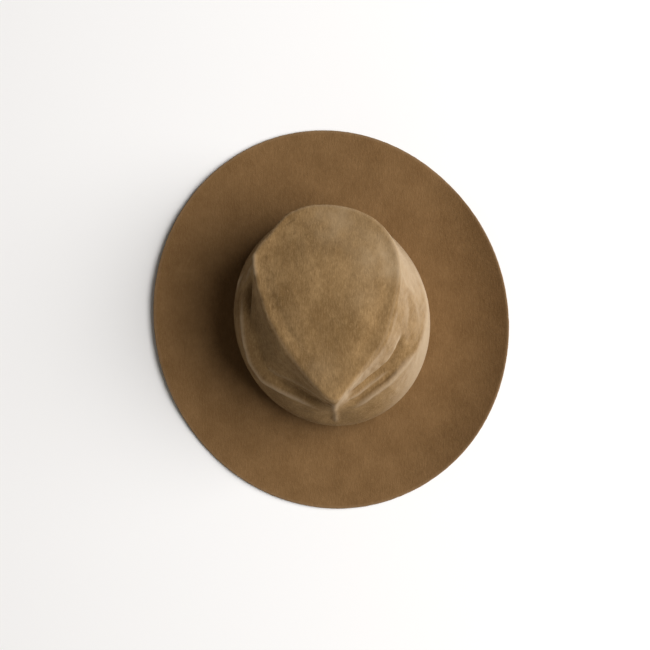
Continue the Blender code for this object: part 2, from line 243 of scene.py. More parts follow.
# What the looks add to the CAD shapes.
FELT_SWELL, FELT_DIMPLES = 0.0007, 0.00022
BRIM_EDGE_BULGE = 0.0007
BRIM_WAVE = 0.0011
BRIM_RAGGED = 0.0011  # a share of the distance to the brim's edge
BAND_RIPPLE = 0.0006
BAND_PRESSED_LINE, PRESSED_LINE_DROP = 0.00025, 0.0030
GATHERS, GATHER_DEPTH = 46, 0.0012
LINING_SAG, TIP_SAG, TIP_PUCKER = 0.0009, 0.0007, 0.00035
PINCH_ANGLE, PINCH_HALF_ARC, PINCH_DEPTH = math.radians(-54), math.radians(18), 0.0042
PIPING_TURNS = 120

# How finely each piece is made. Columns run round the hat, and steps up each span of a profile.
CROWN_COLUMNS, CROWN_STEPS = 480, 15
RIM_ROW = 7.5 * CROWN_STEPS  # the row of the crown's mesh that follows its rim
BRIM_COLUMNS, BRIM_RINGS = 480, 44
COLUMNS = 360
WALL_SPANS, WALL_STEPS = 6, 10  # from the crown's foot to its hollow
LINING_COLUMNS, LINING_STEPS = 720, 16
PIPING_COLUMNS = 1440
BAND_STITCHES, SEAM_STITCHES = 150, 150
STITCH_STEPS = 6


# ---------------------------------------------------------------- the shape of the hat
def oval_perimeter(a, b):
    """Ramanujan's formula, for half axes a and b."""
    return math.pi * (3 * (a + b) - math.sqrt((3 * a + b) * (a + 3 * b)))


HEAD_HALF_WIDTH = HEAD_SIZE / oval_perimeter(1, HEAD_ASPECT)
HEAD_HALF_LENGTH = HEAD_HALF_WIDTH * HEAD_ASPECT
FOOT_HALF_WIDTH = HEAD_HALF_WIDTH + BAND_INNER
FOOT_HALF_LENGTH = HEAD_HALF_LENGTH + BAND_INNER


def mix(a, b, share):
    """A value a share of the way from a to b."""
    return (1 - share) * a + share * b


def oval_radius(angle, half_width, half_length):
    """The distance from an oval's middle to its edge. The hat's ovals all lie a little askew."""
    turned = angle - SKEW
    return half_width * half_length / np.hypot(
        half_length * np.cos(turned), half_width * np.sin(turned)
    )


def foot_radius(angle):
    """The distance from the crown's axis to the outer face of its foot."""
    return oval_radius(angle, FOOT_HALF_WIDTH, FOOT_HALF_LENGTH)


def around_crown(column, angle):
    """A smooth closed curve through one column of the stations, read at the given angles."""
    turn = 2 * math.pi
    knots = np.radians([row[0] for row in CROWN_STATIONS])
    values = np.array([row[column] / 1000 for row in CROWN_STATIONS])
    knots = np.concatenate([knots[-2:] - turn, knots, knots[:3] + turn])
    values = np.concatenate([values[-2:], values, values[:3]])
    slopes = (values[2:] - values[:-2]) / (knots[2:] - knots[:-2])
    angle = (angle - knots[2]) % turn + knots[2]
    i = np.clip(np.searchsorted(knots, angle, side="right") - 1, 1, len(knots) - 3)
    width = knots[i + 1] - knots[i]
    t = (angle - knots[i]) / width
    return (
        (2 * t**3 - 3 * t**2 + 1) * values[i]
        + (t**3 - 2 * t**2 + t) * width * slopes[i - 1]
        + (3 * t**2 - 2 * t**3) * values[i + 1]
        + (t**3 - t**2) * width * slopes[i]
    )


def rounded(controls, steps):
    """A quadratic B-spline through a control polygon of (radius, height) pairs over the angles."""
    points = [np.stack(pair) for pair in controls]
    found = [points[0]]
    start = points[0]
    for k in range(1, len(points) - 1):
        end = points[k + 1] if k == len(points) - 2 else (points[k] + points[k + 1]) / 2
        for t in np.linspace(0, 1, steps + 1)[1:]:
            found.append((1 - t) ** 2 * start + 2 * t * (1 - t) * points[k] + t**2 * end)
        start = end
    return found


def crown_profiles(angle, steps):
    """Rows of (radius, height) over the angles, from the crown's foot to the middle of its top."""
    foot = foot_radius(angle)
    shoulder, shoulder_z, hollow, hollow_z, rim, rim_z = (
        around_crown(column, angle) for column in range(1, 7)
    )
    level = np.ones_like(angle)
    controls = [
        (foot, CROWN_FOOT_Z * level),
        (foot, WALL_LOW_Z * level),
        (foot, WALL_TOP_Z * level),
        (mix(foot, shoulder, WALL_TO_SHOULDER), shoulder_z - UNDER_SHOULDER),
        (shoulder, shoulder_z),
        ((shoulder + hollow) / 2, (shoulder_z + hollow_z) / 2),
        (hollow, hollow_z),
        (mix(hollow, rim, HOLLOW_TO_RIM), mix(hollow_z, rim_z, HOLLOW_TO_RIM)),
        (rim, rim_z),
        (rim - RIM_ROUNDING, rim_z + RIM_DOME),
        (TOP_OUTER * rim, mix(rim_z, TOP_CENTRE_Z, TOP_OUTER_RISE)),
        (TOP_INNER * rim, TOP_CENTRE_Z * level),
        (0 * level, TOP_CENTRE_Z * level),
    ]
    return rounded(controls, steps)


def about_crown_axis(angle, radius, z):
    """Points at the given angles and distances round the crown's own upright axis."""
    angle, radius, z = np.broadcast_arrays(angle, radius, z)
    x = CROWN_X + radius * np.cos(angle)
    return np.stack([x, CROWN_Y + radius * np.sin(angle), z], axis=1)


def crown_rows(angle, steps):
    """Rows of points on the crown's outer face, from its foot up, with the dent in its top."""
    rows = []
    for radius, z in crown_profiles(angle, steps):
        row = about_crown_axis(angle, radius, z)
        from_trough = np.hypot(row[:, 0], row[:, 1] - TROUGH_Y) / TROUGH_RADIUS
        on_top = np.clip((z - TROUGH_LOW_Z) / TROUGH_FADE_IN, 0, 1)
        row[:, 2] -= TROUGH_DEPTH * on_top * np.exp(-(from_trough**2) / 2)
        rows.append(row)
    return rows


def inside_wall(angle, z, depth):
    """Points a depth below the outer face of the crown's wall, at a height under its shoulder."""
    profiles = np.array(crown_profiles(angle, WALL_STEPS)[: WALL_SPANS * WALL_STEPS])
    z = np.broadcast_to(z, angle.shape)
    radius = [np.interp(h, profiles[:, 1, k], profiles[:, 0, k]) for k, h in enumerate(z)]
    return about_crown_axis(angle, np.array(radius) - depth, z)


def brim_row(angle, share, height):
    """Points a share of the way from the crown's foot to the brim's edge, over its underside."""
    inner = about_crown_axis(angle, foot_radius(angle), 0)
    edge = oval_radius(angle, BRIM_HALF_SHORT, BRIM_HALF_LONG)
    outer = np.stack([edge * np.cos(angle), edge * np.sin(angle), 0 * angle], axis=1)
    flat = math.sin(BRIM_FLAT_ARC)
    lean = np.cos(angle - BRIM_LIFT_TURN)
    side = np.clip((np.abs(lean) - flat) / (1 - flat), 0, 1) * np.where(lean > 0, 1, BRIM_LOW_SIDE)
    row = inner + share * (outer - inner)
    row[:, 2] = height + BRIM_SIDE_LIFT * side**2 * (3 - 2 * side) * share**BRIM_CURL
    return row


def all_round(count):
    """Angles all round the hat from its back, without the last one that would close the ring."""
    return BACK + np.arange(count) * 2 * math.pi / count


def seam_to_seam(count=COLUMNS + 1, clearance=0.0002):
    """Angles round the hat that stop short of the back seam on either side."""
    start = clearance / HEAD_HALF_LENGTH
    return BACK + np.linspace(start, 2 * math.pi - start, count)


def soft(x):
    """A smooth step from 0 to 1."""
    x = np.clip(x, 0, 1)
    return x * x * (3 - 2 * x)


def lumps(points, size, octaves, seed):
    """Smooth random numbers from about -1 to 1 over points, with lumps of about the given size."""
    shift = Vector((seed, 1.7 * seed, 2.3 * seed))
    return np.array([noise.fractal(Vector(p) / size + shift, 1.0, 2.0, octaves) for p in points])


# ---------------------------------------------------------------- meshes
def surface(name, grid, material, ring=True, tube=False, apex=False):
    """A mesh over rows of points, with a UV map in metres of cloth.

    Rows climb and columns run round. A ring joins the last column to the first, a tube joins the
    last row to the first, and an apex closes the last row with a fan.
    """
    grid = np.asarray(grid)
    rows, columns = grid.shape[:2]
    i = np.arange(rows if tube else rows - 1)[:, None]
    k = np.arange(columns if ring else columns - 1)[None, :]
    after, above = (k + 1) % columns, (i + 1) % rows
    quads = np.stack(
        [i * columns + k, i * columns + after, above * columns + after, above * columns + k], axis=2
    ).reshape(-1, 4)
    middle = grid[rows // 3]
    run = np.linalg.norm(np.roll(middle, -1, axis=0) - middle, axis=1)
    u = np.concatenate([[0], np.cumsum(run)])
    climb = np.linalg.norm(np.roll(grid, -1, axis=0) - grid, axis=2).mean(axis=1)
    v = np.concatenate([[0], np.cumsum(climb)])
    corners = np.stack(
        [
            np.stack(np.broadcast_arrays(u[k + a], v[i + b]), axis=-1).reshape(-1, 2)
            for a, b in ((0, 0), (1, 0), (1, 1), (0, 1))
        ],
        axis=1,
    )
    points = grid.reshape(-1, 3)
    faces = quads.tolist()
    uv = corners.reshape(-1, 2)
    if apex:
        last = (rows - 1) * columns
        points = np.vstack([points, grid[-1].mean(axis=0)])
        faces += [(last + c, last + (c + 1) % columns, len(points) - 1) for c in range(columns)]
        top = v[rows - 1]
        fan = [((u[c], top), (u[c + 1], top), (u[c], top + climb[0])) for c in range(columns)]
        uv = np.vstack([uv, np.array(fan).reshape(-1, 2)])
    data = bpy.data.meshes.new(name)
    data.from_pydata(points.tolist(), [], faces)
    data.uv_layers.new(name="cloth").data.foreach_set("uv", uv.astype(np.float32).ravel())
    data.shade_smooth()
    return placed(name, data, material)


def placed(name, data, material):
    """Puts a mesh or curve in the scene as an object with one material."""
    data.materials.append(material)
    obj = bpy.data.objects.new(name, data)
    bpy.context.scene.collection.objects.link(obj)
    return obj


def thicken(obj, thickness):
    """Turns an open sheet into a shell by growing it inwards."""
    shell = obj.modifiers.new("thickness", "SOLIDIFY")
    shell.thickness = thickness
    shell.offset = -1


def strands(name, lines, diameter, material, closed=False, sides=3):
    """Round strands, each through a line of points."""
    data = bpy.data.curves.new(name, "CURVE")
    data.dimensions = "3D"
    data.bevel_depth = diameter / 2
    data.bevel_resolution = sides
    data.use_fill_caps = True
    for line in lines:
        spline = data.splines.new("POLY")
        spline.points.add(len(line) - 1)
        spline.points.foreach_set("co", np.hstack([line, np.ones((len(line), 1))]).ravel())
        spline.use_cyclic_u = closed
        spline.use_smooth = True
    return placed(name, data, material)


def stands_for(piece, slot, *nodes):
    """Hangs a piece on the root body and hides the CAD nodes that it stands in for; its slot is not
    used.
    """
    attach(piece, "root")
    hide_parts(*nodes)


# ---------------------------------------------------------------- materials
# The mix node has a set of sockets for each kind of value. These are the ones for colours.
BLEND_SHARE, BLEND_A, BLEND_B, BLEND_RESULT = 0, 6, 7, 2
WAVE_PITCH = math.pi / 10  # metres between the bands of a wave texture of scale 1
HIGHLIGHT_WOOL = (0.43, 0.325, 0.215, 1)
HIGHLIGHT_PATCH_WOOL = (0.32, 0.226, 0.128, 1)
WOOL_SHEEN = (1.0, 0.80, 0.58, 1)
BORDER_BROWN = (0.16, 0.09, 0.05, 1)
FLOOR_WHITE = (0.90, 0.90, 0.905, 1)


class Stuff:
    """A material under construction, with short ways to add nodes to it."""

    def __init__(self, name, **sockets):
        self.material = bpy.data.materials.new(name)
        self.material.use_nodes = True
        self.tree = self.material.node_tree
        self.shader = self.tree.nodes["Principled BSDF"]
        for key, value in sockets.items():
            self.shader.inputs[key.replace("_", " ")].default_value = value
        self.height = None

    def node(self, kind, inputs, output=0, **settings):
        """Adds a node, fills its inputs with values or with other nodes' outputs."""
        made = self.tree.nodes.new(kind)
        for key, value in settings.items():
            setattr(made, key, value)
        for key, value in inputs.items():
            if isinstance(value, bpy.types.NodeSocket):
                self.tree.links.new(value, made.inputs[key])
            else:
                made.inputs[key].default_value = value
        return made.outputs[output]

    def place(self, stretch=(1, 1, 1), by_cloth=False):
        """Where a point is, in metres, on the object or on the cloth itself."""
        where = self.node("ShaderNodeTexCoord", {}, "UV" if by_cloth else "Object")
        return self.node("ShaderNodeMapping", {"Vector": where, "Scale": stretch})

    def grain(self, size, detail, rough=0.55, **where):
        """Random grain from 0 to 1, whose lumps have the given size in metres."""
        inputs = {"Vector": self.place(**where), "Scale": 1 / size}
        inputs.update({"Detail": detail, "Roughness": rough})
        return self.node("ShaderNodeTexNoise", inputs, "Fac")

    def cells(self, size):
        """Rounded cells of the given size, from 0 in their middles upwards."""
        inputs = {"Vector": self.place(), "Scale": 1 / size}
        return self.node("ShaderNodeTexVoronoi", inputs, "Distance")

    def ribs(self, pitch, direction, wander):
        """Parallel ribs or threads over the cloth, from 0 in the gaps to 1 on the ribs."""
        inputs = {"Vector": self.place(by_cloth=True), "Scale": WAVE_PITCH / pitch}
        inputs["Distortion"] = wander
        return self.node("ShaderNodeTexWave", inputs, "Fac", bands_direction=direction)

    def between(self, value, low, high, to_low=0.0, to_high=1.0):
        """A value rescaled from one range to another and held inside it."""
        inputs = {"Value": value, "From Min": low, "From Max": high}
        inputs.update({"To Min": to_low, "To Max": to_high})
        return self.node("ShaderNodeMapRange", inputs)

    def product(self, a, b):
        """Two values multiplied."""
        return self.node("ShaderNodeMath", {0: a, 1: b}, operation="MULTIPLY")

    def blend(self, share, a, b):
        """A colour a share of the way from a to b."""
        inputs = {BLEND_SHARE: share, BLEND_A: a, BLEND_B: b}
        return self.node("ShaderNodeMix", inputs, BLEND_RESULT, data_type="RGBA")

    def attribute(self, name):
        """A number stored at each point of the mesh under the given name."""
        return self.node("ShaderNodeAttribute", {}, "Fac", attribute_name=name)

    def bump(self, value, depth, strength):
        """Lays a bump of the given depth in metres over those laid before it."""
        inputs = {"Height": value, "Distance": depth, "Strength": strength}
        if self.height is not None:
            inputs["Normal"] = self.height
        self.height = self.node("ShaderNodeBump", inputs)

    def finished(self, colour=None, roughness=None):
        """Joins the bumps, colour and roughness to the shader and gives the material back."""
        if self.height is not None:
            self.tree.links.new(self.height, self.shader.inputs["Normal"])
        if colour is not None:
            self.tree.links.new(colour, self.shader.inputs["Base Color"])
        if roughness is not None:
            self.tree.links.new(roughness, self.shader.inputs["Roughness"])
        return self.material


def shade(colour, factor):
    """A colour made lighter or darker. It also grows greyer as it lightens, like dyed fibre."""
    return (colour[0] * factor, colour[1] * factor**1.15, colour[2] * factor**1.4, 1)


def felt(name, colour, coarse):
    """Napped wool felt: mottled dye under fine hairs brushed towards the front.

    Coarse, from 0 to 1, is how strong the mottle and the nap are. The mesh's attributes then paint
    light and shade into the colour: a painted highlight on steep walls that face the window and on
    pale patches, painted shade on dark patches, and a fold value that is above 0 on ridges, which
    get a painted highlight, and below 0 in creases, which get painted shade.
    """
    stuff = Stuff(
        name, Sheen_Weight=0.05, Sheen_Roughness=0.5, Sheen_Tint=WOOL_SHEEN, Specular_IOR_Level=0.05
    )
    blotch = stuff.grain(0.026, 4.0, 0.6)
    mottle = stuff.grain(0.0045, 3.0, 0.6)
    nap = stuff.grain(0.0014, 4.0, 0.75, stretch=(1, 0.3, 1))
    hair = stuff.grain(0.0004, 2.0, 0.7, stretch=(1, 0.25, 1))
    fold_light_and_shade = stuff.attribute("fold_light_and_shade")
    dark, light = shade(colour, 1 - 0.26 * coarse), shade(colour, 1 + 0.22 * coarse)
    base = stuff.blend(stuff.between(blotch, 0.36, 0.64), dark, light)
    for share, over in (
        (stuff.between(mottle, 0.3, 0.7, 0.0, 0.2 + 0.4 * coarse), shade(colour, 0.86)),
        (stuff.between(nap, 0.50, 0.74, 0.0, 0.62 * coarse), shade(colour, 1.55)),
        (stuff.between(nap, 0.48, 0.26, 0.0, 0.70 * coarse), shade(colour, 0.58)),
        (stuff.between(hair, 0.58, 0.8, 0.0, 0.45), shade(colour, 1.7)),
        # Painted light: highlights on lit walls, pale patches and ridges; painted shade on dark
        # patches and in creases.
        (stuff.attribute("lit_wall_highlight"), HIGHLIGHT_WOOL),
        (stuff.attribute("wear_and_highlight"), HIGHLIGHT_PATCH_WOOL),
        (stuff.attribute("top_shade"), shade(colour, 0.55)),
        (stuff.between(fold_light_and_shade, 0.08, 1.0, 0.0, 0.58), HIGHLIGHT_WOOL),
        (stuff.between(fold_light_and_shade, -0.08, -1.0, 0.0, 0.12), shade(colour, 0.6)),
    ):
        base = stuff.blend(share, base, over)
    stuff.bump(mottle, 0.0012, 0.35)
    stuff.bump(nap, 0.0007, 0.55)
    stuff.bump(hair, 0.0003, 0.6)
    return stuff.finished(base, stuff.between(nap, 0.2, 0.8, 0.82, 1.0))


def leather():
    """Smooth brown leather with fine pores, paler where the head has rubbed it."""
    colour = (0.19, 0.085, 0.040)
    stuff = Stuff("sweatband_leather", Coat_Weight=0.12, Coat_Roughness=0.35)
    tone = stuff.grain(0.020, 4.0)
    pores = stuff.cells(0.0011)
    fine = stuff.grain(0.0005, 3.0, 0.6)
    base = stuff.blend(stuff.between(tone, 0.3, 0.7), shade(colour, 0.8), shade(colour, 1.2))
    base = stuff.blend(stuff.between(pores, 0.0, 0.35, 0.35, 0.0), base, shade(colour, 0.5))
    base = stuff.blend(stuff.attribute("wear"), base, shade(colour, 1.9))
    stuff.bump(pores, 0.0003, 0.5)
    stuff.bump(fine, 0.0001, 0.5)
    return stuff.finished(base, stuff.between(tone, 0.3, 0.7, 0.38, 0.56))


def satin(name, colour):
    """Glossy woven satin, with its threads running up the cloth."""
    stuff = Stuff(name, Anisotropic=0.6, Sheen_Weight=0.2, Sheen_Roughness=0.3)
    threads = stuff.grain(0.0004, 2.0, 0.6, stretch=(1, 0.04, 1), by_cloth=True)
    weft = stuff.ribs(0.0005, "Y", 0.8)
    tone = stuff.grain(0.012, 3.0)
    base = stuff.blend(stuff.between(tone, 0.3, 0.7), shade(colour, 0.88), shade(colour, 1.14))
    base = stuff.blend(stuff.between(threads, 0.35, 0.7, 0.0, 0.5), base, shade(colour, 1.35))
    stuff.bump(threads, 0.0002, 0.35)
    stuff.bump(weft, 0.0001, 0.15)
    return stuff.finished(base, stuff.between(threads, 0.3, 0.7, 0.26, 0.42))


def ribbon(name, colour, pitch):
    """Grosgrain: ribs across the ribbon, with fine threads over them."""
    stuff = Stuff(name, Sheen_Weight=0.25, Sheen_Roughness=0.4)
    rib = stuff.ribs(pitch, "X", 0.3)
    fine = stuff.ribs(0.0003, "Y", 0.5)
    tone = stuff.grain(0.004, 3.0)
    base = stuff.blend(stuff.between(rib, 0.2, 0.9), shade(colour, 0.55), shade(colour, 1.15))
    base = stuff.blend(stuff.between(tone, 0.4, 0.75, 0.0, 0.4), base, shade(colour, 1.5))
    stuff.bump(rib, 0.00025, 0.7)
    stuff.bump(fine, 0.0001, 0.4)
    return stuff.finished(base, stuff.between(rib, 0.0, 1.0, 0.75, 0.55))


def thread(name, colour):
    """Spun cotton: two plies with loose hairs."""
    stuff = Stuff(name, Sheen_Weight=0.3, Sheen_Roughness=0.5)
    ply = stuff.grain(0.0005, 2.0, 0.6, stretch=(1, 1, 2.5))
    hairs = stuff.grain(0.00012, 2.0, 0.7)
    base = stuff.blend(stuff.between(ply, 0.3, 0.7), shade(colour, 0.65), shade(colour, 1.2))
    stuff.bump(ply, 0.00012, 0.6)
    stuff.bump(hairs, 0.00005, 0.5)
    return stuff.finished(base, stuff.between(hairs, 0.3, 0.7, 0.6, 0.9))


def plastic():
    """Milky plastic, a little cloudy and scuffed."""
    colour = (0.80, 0.78, 0.70)
    stuff = Stuff("reed_plastic", Transmission_Weight=0.25, IOR=1.49)
    cloud = stuff.grain(0.006, 3.0)
    scuff = stuff.grain(0.0006, 3.0, 0.6, stretch=(1, 1, 4))
    base = stuff.blend(stuff.between(cloud, 0.3, 0.7), shade(colour, 0.88), shade(colour, 1.05))
    stuff.bump(scuff, 0.00005, 0.4)
    return stuff.finished(base, stuff.between(scuff, 0.3, 0.7, 0.28, 0.5))


def woven_label():
    """Cream woven tape with a plain border line."""
    colour = (0.74, 0.68, 0.56)
    stuff = Stuff("label_weave", Sheen_Weight=0.15, Sheen_Roughness=0.4)
    weave = stuff.product(stuff.ribs(0.00045, "X", 0.2), stuff.ribs(0.00045, "Y", 0.2))
    tone = stuff.grain(0.003, 3.0)
    base = stuff.blend(stuff.between(weave, 0.0, 0.8), shade(colour, 0.78), shade(colour, 1.08))
    base = stuff.blend(stuff.between(tone, 0.4, 0.8, 0.0, 0.3), base, shade(colour, 0.8))
    base = stuff.blend(stuff.attribute("border"), base, BORDER_BROWN)
    stuff.bump(weave, 0.0002, 0.6)
    return stuff.finished(base, stuff.between(weave, 0.0, 1.0, 0.85, 0.65))


def pale_floor():
    """The plain pale surface that the hat lies on."""
    stuff = Stuff("pale_floor", Roughness=0.9, Specular_IOR_Level=0.1, Base_Color=FLOOR_WHITE)
    return stuff.finished()


CROWN_STUFF = felt("crown_felt_nap", (0.232, 0.141, 0.060), 1.0)
BRIM_STUFF = felt("brim_felt_nap", (0.183, 0.102, 0.042), 0.45)
LEATHER_STUFF = leather()
SATIN_STUFF = satin("lining_satin", (0.30, 0.20, 0.11))
PIPING_STUFF = satin("piping_satin", (0.12, 0.07, 0.04))
TAPE_STUFF = ribbon("reed_tape_weave", (0.10, 0.06, 0.035), 0.0007)
BOW_STUFF = ribbon("bow_grosgrain", (0.10, 0.06, 0.035), 0.0006)
THREAD_STUFF = thread("tan_thread", (0.45, 0.32, 0.20))
PLASTIC_STUFF = plastic()
LABEL_STUFF = woven_label()


# ---------------------------------------------------------------- the crown
def normals_of(grid):
    """Outward unit normals over a grid whose columns run round and whose rows climb."""
    along = np.roll(grid, -1, axis=1) - np.roll(grid, 1, axis=1)
    up = np.gradient(grid, axis=0)
    normal = np.cross(along, up)
    return normal / np.maximum(np.linalg.norm(normal, axis=2, keepdims=True), 1e-12)


def crease_share(points, line, half_width, fade):
    """How much of a crease each point takes: 1 on its line, fading to its sides and its ends."""
    legs = np.linalg.norm(np.diff(line, axis=0), axis=1)
    before = np.concatenate([[0], np.cumsum(legs)]) / legs.sum()
    nearest = np.full(len(points), np.inf)
    along = np.zeros(len(points))
    for start, end, s0, s1 in zip(line[:-1], line[1:], before[:-1], before[1:]):
        leg = end - start
        t = np.clip((points - start) @ leg / (leg @ leg), 0, 1)
        apart = np.linalg.norm(points - start - t[:, None] * leg, axis=1)
        closer = apart < nearest
        nearest[closer] = apart[closer]
        along[closer] = (s0 + t * (s1 - s0))[closer]
    ends = soft(np.minimum(along, 1 - along) / fade + 0.15)
    return np.exp(-((nearest / half_width) ** 1.6)) * ends


def on_surface(points, line):
    """Moves the points of a line to the nearest mesh points, judged mostly from above."""
    found = []
    for spot in np.array(line) / 1000:
        apart = (points - spot) * (1, 1, 0.25)
        found.append(points[np.argmin((apart**2).sum(axis=1))])
    return np.array(found)


def add_attribute(obj, name, values):
    """Stores a number at each point of a mesh, 0 at any points past the end of the values."""
    values = np.asarray(values, np.float32)
    layer = obj.data.attributes.new(name, "FLOAT", "POINT")
    full = np.zeros(len(obj.data.vertices), np.float32)
    full[: len(values)] = values
    layer.data.foreach_set("value", full)


def patches(points, spots):
    """How much each point takes of some soft-edged, mottled patches on the top of the crown."""
    mottle = 0.75 + 0.5 * lumps(points, 0.012, 3, 13.0)
    found = np.zeros(len(points))
    for x, y, radius, strength in spots:
        apart = np.hypot(points[:, 0] * 1000 - x, points[:, 1] * 1000 - y) / radius
        found += strength * np.exp(-(apart**2)) * mottle
    return np.clip(found, 0, 1) * soft((points[:, 2] - 0.085) / 0.02)


def make_crown():
    """The crown: the CAD shape, with the creases and the soft unevenness of handled felt.

    The walls that face the wearer's left, towards the window lamp, get a painted highlight, so
    how steep a wall is counts only there.
    """
    grid = np.array(crown_rows(all_round(CROWN_COLUMNS), CROWN_STEPS)[:-1])
    points = grid.reshape(-1, 3)
    outward = normals_of(grid).reshape(-1, 3)
    push = np.zeros(len(points))
    # Painted light: the rim row and the ridges get a painted highlight, the creases painted shade.
    from_rim = (np.arange(len(grid)) - RIM_ROW) / RIM_HIGHLIGHT_ROWS
    fold_light_and_shade = np.repeat(RIM_HIGHLIGHT * np.exp(-(from_rim**2)), CROWN_COLUMNS)
    for line, half_width, depth, fade in CREASES.values():
        share = crease_share(points, on_surface(points, line), half_width / 1000, fade)
        push -= share * depth / 1000
        fold_light_and_shade -= share * np.clip(depth / FULL_FOLD_DEPTH, -1, 1)
    above_foot = soft((points[:, 2] - 0.030) / 0.030)
    push += above_foot * FELT_SWELL * lumps(points, 0.030, 3, 5.0)
    push += above_foot * FELT_DIMPLES * lumps(points, 0.007, 2, 9.0)
    moved = points + push[:, None] * outward
    grid = moved.reshape(grid.shape)
    crown = surface("crown", grid, CROWN_STUFF, apex=True)
    add_attribute(crown, "fold_light_and_shade", fold_light_and_shade)
    normal = normals_of(grid).reshape(-1, 3)
    # Painted highlight: steep walls that face the window lamp are painted paler.
    lit_wall_highlight = soft(1.35 * (1 - np.abs(normal[:, 2])))
    add_attribute(crown, "lit_wall_highlight", lit_wall_highlight * soft(1.5 * normal[:, 0] - 0.55))
    # Painted highlight patches and painted shade patches on the top of the crown.
    add_attribute(crown, "wear_and_highlight", patches(moved, HIGHLIGHT_PATCHES))
    add_attribute(crown, "top_shade", patches(moved, SHADE_PATCHES))
    thicken(crown, CROWN_FELT)
    stands_for(crown, "felt", "crown_felt")


def make_brim():
    """The brim and the collar that turns up inside the crown, with a soft raw edge."""
    angle = all_round(BRIM_COLUMNS)
    shares = np.linspace(0, 1, BRIM_RINGS + 1)
    rows = [brim_row(angle, share, BRIM_FELT) for share in shares[::-1]]
    rows += [inside_wall(angle, z, COLLAR_OUTER) for z in np.linspace(BRIM_FELT, COLLAR_TOP_Z, 6)]
    rows += [inside_wall(angle, z, COLLAR_INNER) for z in np.linspace(COLLAR_TOP_Z, BRIM_BEND_Z, 6)]
    for turn in np.radians(np.linspace(90, 0, 7)[1:]):
        z = BRIM_BEND_Z * (1 - math.cos(turn))
        rows.append(inside_wall(angle, z, COLLAR_INNER * math.sin(turn)))
    rows += [brim_row(angle, share, 0) for share in shares[1:]]
    for turn in np.radians((-55, -20, 20, 55)):
        row = brim_row(angle, 1, BRIM_FELT / 2 * (1 + math.sin(turn)))
        outward = row[:, :2] / np.linalg.norm(row[:, :2], axis=1, keepdims=True)
        row[:, :2] += BRIM_EDGE_BULGE * math.cos(turn) * outward
        rows.append(row)
    grid = np.array(rows)
    points = grid.reshape(-1, 3)
    flat = points * (1, 1, 0)
    out = np.linalg.norm(flat, axis=1)
    loose = soft((np.clip(out / BRIM_HALF_SHORT, 0, 1) - 0.62) / 0.38)
    points[:, 2] += loose * BRIM_WAVE * np.clip(lumps(flat, 0.060, 2, 3.0) + 0.35, 0, 2)
    angles = np.arctan2(points[:, 1], points[:, 0])
    edge = soft((out / oval_radius(angles, BRIM_HALF_SHORT, BRIM_HALF_LONG) - 0.98) / 0.02)
    points[:, :2] *= 1 + (edge * BRIM_RAGGED * lumps(flat, 0.004, 2, 7.0))[:, None]
    brim = surface("brim", points.reshape(grid.shape), BRIM_STUFF, tube=True)
    # Painted highlight along the brim's raw edge.
    add_attribute(brim, "fold_light_and_shade", RIM_HIGHLIGHT * edge)
    stands_for(brim, "felt", "brim_felt")


# ---------------------------------------------------------------- the sweatband and what is on it
def make_sweatband():
    """The leather band: a pressed line under its top edge, and a slight ripple."""
    angle = seam_to_seam()
    heights = BAND_BOTTOM_Z + (BAND_TOP_Z - BAND_BOTTOM_Z) * np.linspace(0, 1, 40)
    grid = np.array([inside_wall(angle, z, BAND_OUTER) for z in heights])
    points = grid.reshape(-1, 3)
    z = points[:, 2]
    ripple = BAND_RIPPLE * soft((z - 0.014) / 0.019) * (1 + lumps(points, 0.040, 2, 11.0))
    from_line = z - (BAND_TOP_Z - PRESSED_LINE_DROP)
    pressed = BAND_PRESSED_LINE * np.exp(-((from_line / 0.0005) ** 2))
    points += (pressed - ripple)[:, None] * away_from_axis(points)
    band = surface("sweatband_leather_band", points.reshape(grid.shape), LEATHER_STUFF, ring=False)
    wear_and_highlight = soft((z - BAND_TOP_Z + 0.0012) / 0.0012) * 0.5 + 0.12 * lumps(points, 0.020, 3, 2.0)
    add_attribute(band, "wear", np.clip(wear_and_highlight, 0, 1))
    thicken(band, BAND_INNER - BAND_OUTER)
    stands_for(band, "leather", "sweatband")


def make_reed():
    """The thin round reed inside the tape's fold."""
    points = inside_wall(seam_to_seam(), REED_Z, REED_DEPTH)
    reed = strands("sweatband_reed_rod", [points], REED_DIAMETER, PLASTIC_STUFF)
    stands_for(reed, "reed_plastic", "sweatband_reed")


def make_reed_tape():
    """The tape folded under the reed, with a leg standing up behind the sweatband."""
    angle = seam_to_seam()
    roll = REED_DIAMETER / 2 + 0.0003
    leg = np.linspace(TAPE_TOP_Z, REED_Z + 2 * roll, 8)
    rows = [inside_wall(angle, z, TAPE_OUTER + TAPE) for z in leg]
    for turn in np.radians(np.linspace(160, 380, 16)):
        z = REED_Z + roll * math.sin(turn)
        rows.append(inside_wall(angle, z, REED_DEPTH + roll * math.cos(turn)))
    tape = surface("reed_tape_folded", rows, TAPE_STUFF, ring=False)
    thicken(tape, TAPE)
    stands_for(tape, "ribbon", "reed_tape")


def away_from_axis(points):
    """Level unit vectors that point from the crown's axis through each point."""
    outward = (points - (CROWN_X, CROWN_Y, 0)) * (1, 1, 0)
    return outward / np.linalg.norm(outward, axis=1, keepdims=True)


def sewn(starts, ends, dip):
    """A thread that runs from hole to hole, sinking at each hole and arching between them."""
    holes = np.array([point for pair in zip(starts, ends) for point in pair])
    line = []
    for here, there, outward in zip(holes[:-1], holes[1:], away_from_axis(holes)):
        for t in np.linspace(0, 1, STITCH_STEPS, endpoint=False):
            sink = dip * (1 - math.sin(math.pi * t) ** 0.7)
            line.append(here + t * (there - here) + sink * outward)
    return np.array(line)


